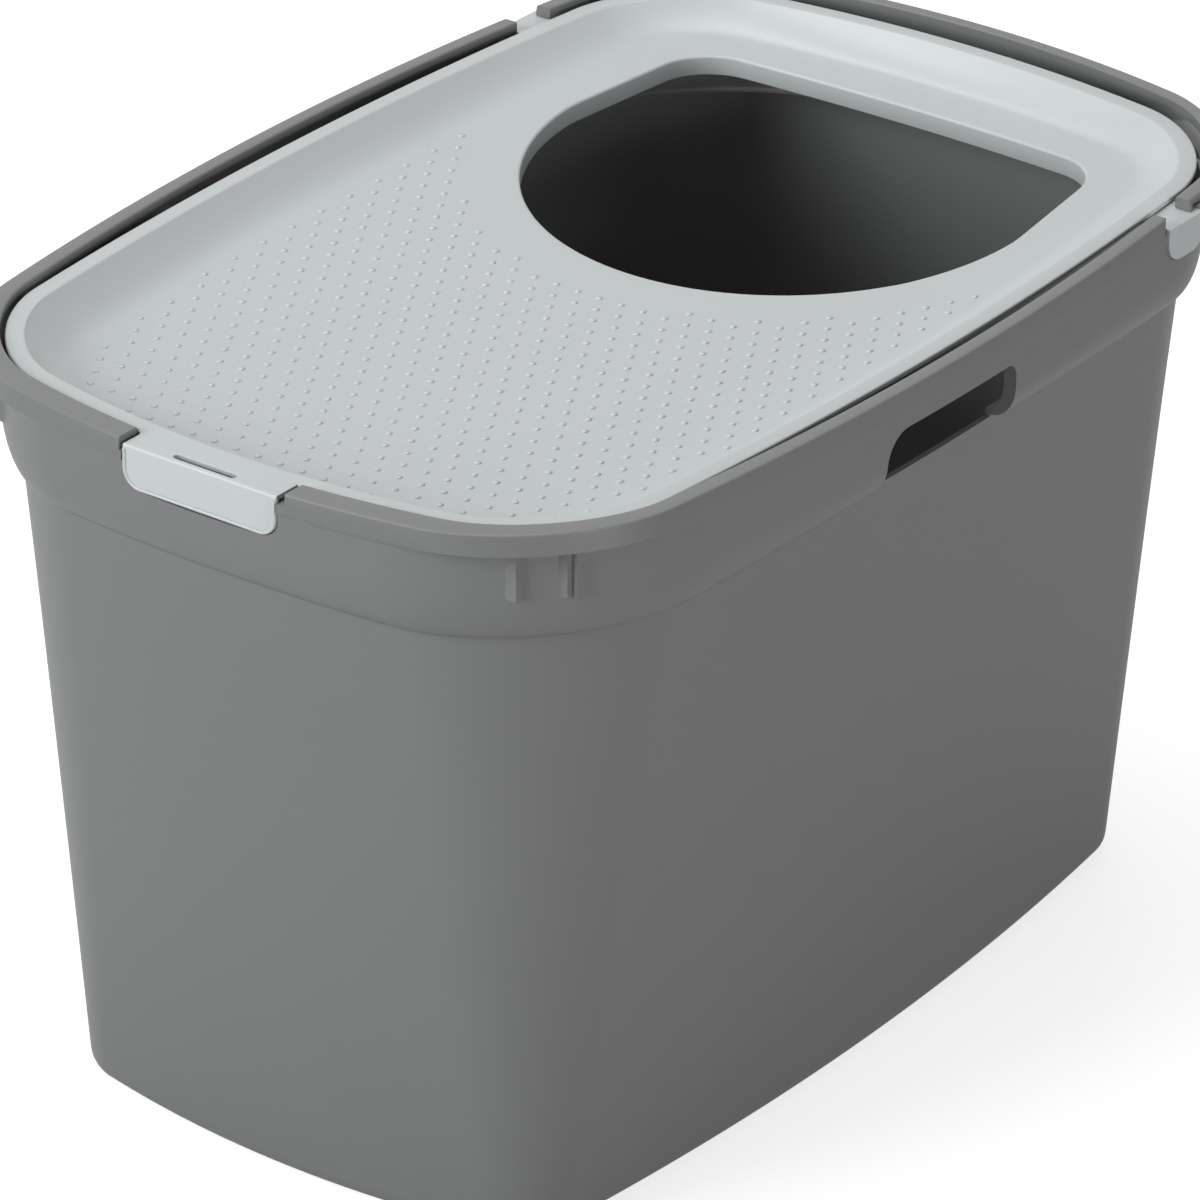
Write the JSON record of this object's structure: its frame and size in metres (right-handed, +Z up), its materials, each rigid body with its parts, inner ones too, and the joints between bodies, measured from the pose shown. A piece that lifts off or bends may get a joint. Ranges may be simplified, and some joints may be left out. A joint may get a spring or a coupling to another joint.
{
  "type": "top entry litter box",
  "caption": "Deep plastic cat litter tub with a dished, hinged lid that has a D-shaped entry hole, hand holes in the long sides and a flexible latch flap at the front.",
  "frame": {"origin": "the middle of the tub's underside, on the surface it stands on", "axes": "+Z up, -Y the front with the latch flap, +X the object's left-hand side seen from its back, which is the right seen from its front"},
  "size_m": [0.3934, 0.5881, 0.368],
  "materials": {
    "tub_plastic": "satin moulded",
    "lid_plastic": "satin moulded"
  },
  "bodies": {
    "tub": {"tub": "tub_plastic"},
    "lid": {"lid": "lid_plastic"},
    "front_latch": {"front_latch": "lid_plastic"}
  },
  "joints": [
    {"name": "lid_hinge", "type": "hinge", "parent": "tub", "child": "lid", "pos_m": [0, 0.182, 0.3615], "axis": [-1, 0, 0], "range_deg": [0, 80]},
    {"name": "latch_flex", "type": "hinge", "parent": "lid", "child": "front_latch", "pos_m": [0, -0.2914, 0.3642], "axis": [-1, 0, 0], "range_deg": [0, 12], "stiffness_Nm_per_rad": 1.2}
  ]
}
